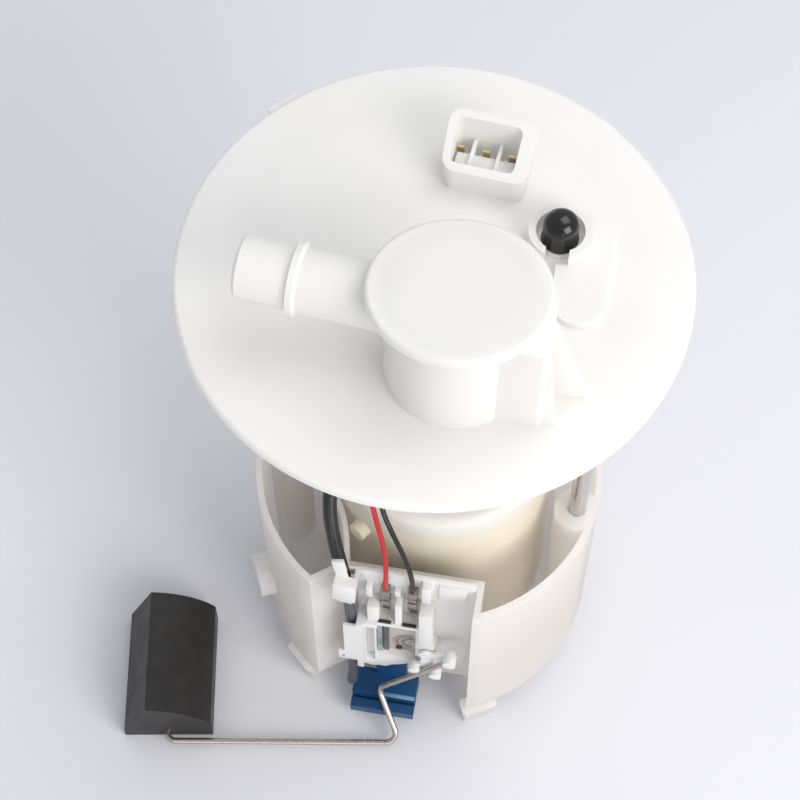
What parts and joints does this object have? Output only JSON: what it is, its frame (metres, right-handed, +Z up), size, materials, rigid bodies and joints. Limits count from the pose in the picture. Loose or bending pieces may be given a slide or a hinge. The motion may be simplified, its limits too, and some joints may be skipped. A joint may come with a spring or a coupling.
{
  "type": "fuel pump module",
  "caption": "In-tank fuel pump module: round flange with vent turret and spout, sprung guide rods, notched reservoir cup with a filter and pump inside, level sender with a float arm.",
  "frame": {"origin": "on the floor plane of the cup's feet, under the cup's vertical axis", "axes": "+Z up through the cup and the flange, X along the level sender's plate, the plate faces -Y"},
  "size_m": [0.1988, 0.1724, 0.2788],
  "materials": {
    "white_plastic": "fine moulded satin",
    "cream_plastic": "natural moulded satin",
    "cap_rubber": "glossy",
    "float_foam": "fine closed foam",
    "steel": "drawn bright",
    "zinc_steel": "zinc plated",
    "contact_brass": "plated",
    "tinned_steel": "tinned",
    "bush_plastic": "satin",
    "blue_plastic": "satin",
    "seal_rubber": "matt",
    "hose_grey": "satin",
    "hose_black": "satin",
    "feed_nylon": "satin",
    "lead_red": "satin",
    "lead_black": "satin",
    "filter_paper": "pleated paper",
    "strainer_mesh": "fine mesh",
    "ferrite": "ground",
    "core_iron": "coated",
    "impeller_resin": "ground",
    "carbon": "pressed",
    "card_ceramic": "glazed"
  },
  "bodies": {
    "top": {"flange": "white_plastic", "turret_cap": "white_plastic", "connector_pins": "contact_brass", "guide_rod_left": "steel", "guide_rod_right": "steel", "vent_cage": "white_plastic", "spring_left": "steel", "spring_right": "steel", "red_lead": "lead_red", "black_lead": "lead_black", "feed_hose": "feed_nylon"},
    "reservoir": {"reservoir_cup": "white_plastic", "sender_bracket": "white_plastic", "sender_housing": "white_plastic", "filter_canister": "cream_plastic", "canister_lid": "cream_plastic", "pump_inlet_cover": "cream_plastic", "pump_chamber": "cream_plastic", "pump_outlet_cover": "cream_plastic", "pressure_regulator": "cream_plastic", "pump_case": "zinc_steel", "terminal_red": "tinned_steel", "terminal_black": "tinned_steel", "rod_bush_left": "bush_plastic", "rod_bush_right": "bush_plastic", "jet_pump": "blue_plastic", "foot_valve": "seal_rubber", "lower_hose": "hose_grey", "upper_hose": "hose_black", "filter_element": "filter_paper", "suction_strainer": "strainer_mesh", "pump_magnets": "ferrite", "brushes": "carbon", "resistor_card": "card_ceramic"},
    "float_arm": {"arm_holder": "white_plastic", "float_wire": "steel", "float_block": "float_foam"},
    "pump_rotor": {"rotor_shaft": "steel", "armature": "core_iron", "commutator": "contact_brass", "impeller": "impeller_resin"},
    "vent_valve": {"vent_float": "cream_plastic", "vent_seal": "seal_rubber"},
    "outlet_cap": {"dust_cap": "cap_rubber"}
  },
  "joints": [
    {"name": "reservoir_slide", "type": "slide", "parent": "top", "child": "reservoir", "axis": [0, 0, 1], "range_m": [0, 0.03], "stiffness_N_per_m": 500, "springref_m": -0.04, "deforming": ["spring_left", "spring_right", "red_lead", "black_lead", "feed_hose"]},
    {"name": "float_swing", "type": "hinge", "parent": "reservoir", "child": "float_arm", "pos_m": [0.0085, -0.0555, 0.055], "axis": [0, 1, 0], "range_deg": [0, 62]},
    {"name": "pump_spin", "type": "hinge", "parent": "reservoir", "child": "pump_rotor", "pos_m": [0.004, 0.006, 0.06], "axis": [0, 0, 1], "continuous": true},
    {"name": "vent_lift", "type": "slide", "parent": "top", "child": "vent_valve", "axis": [0, 0, 1], "range_m": [0, 0.004]},
    {"name": "cap_lift", "type": "slide", "parent": "top", "child": "outlet_cap", "axis": [0, 0, 1], "range_m": [0, 0.012]}
  ]
}
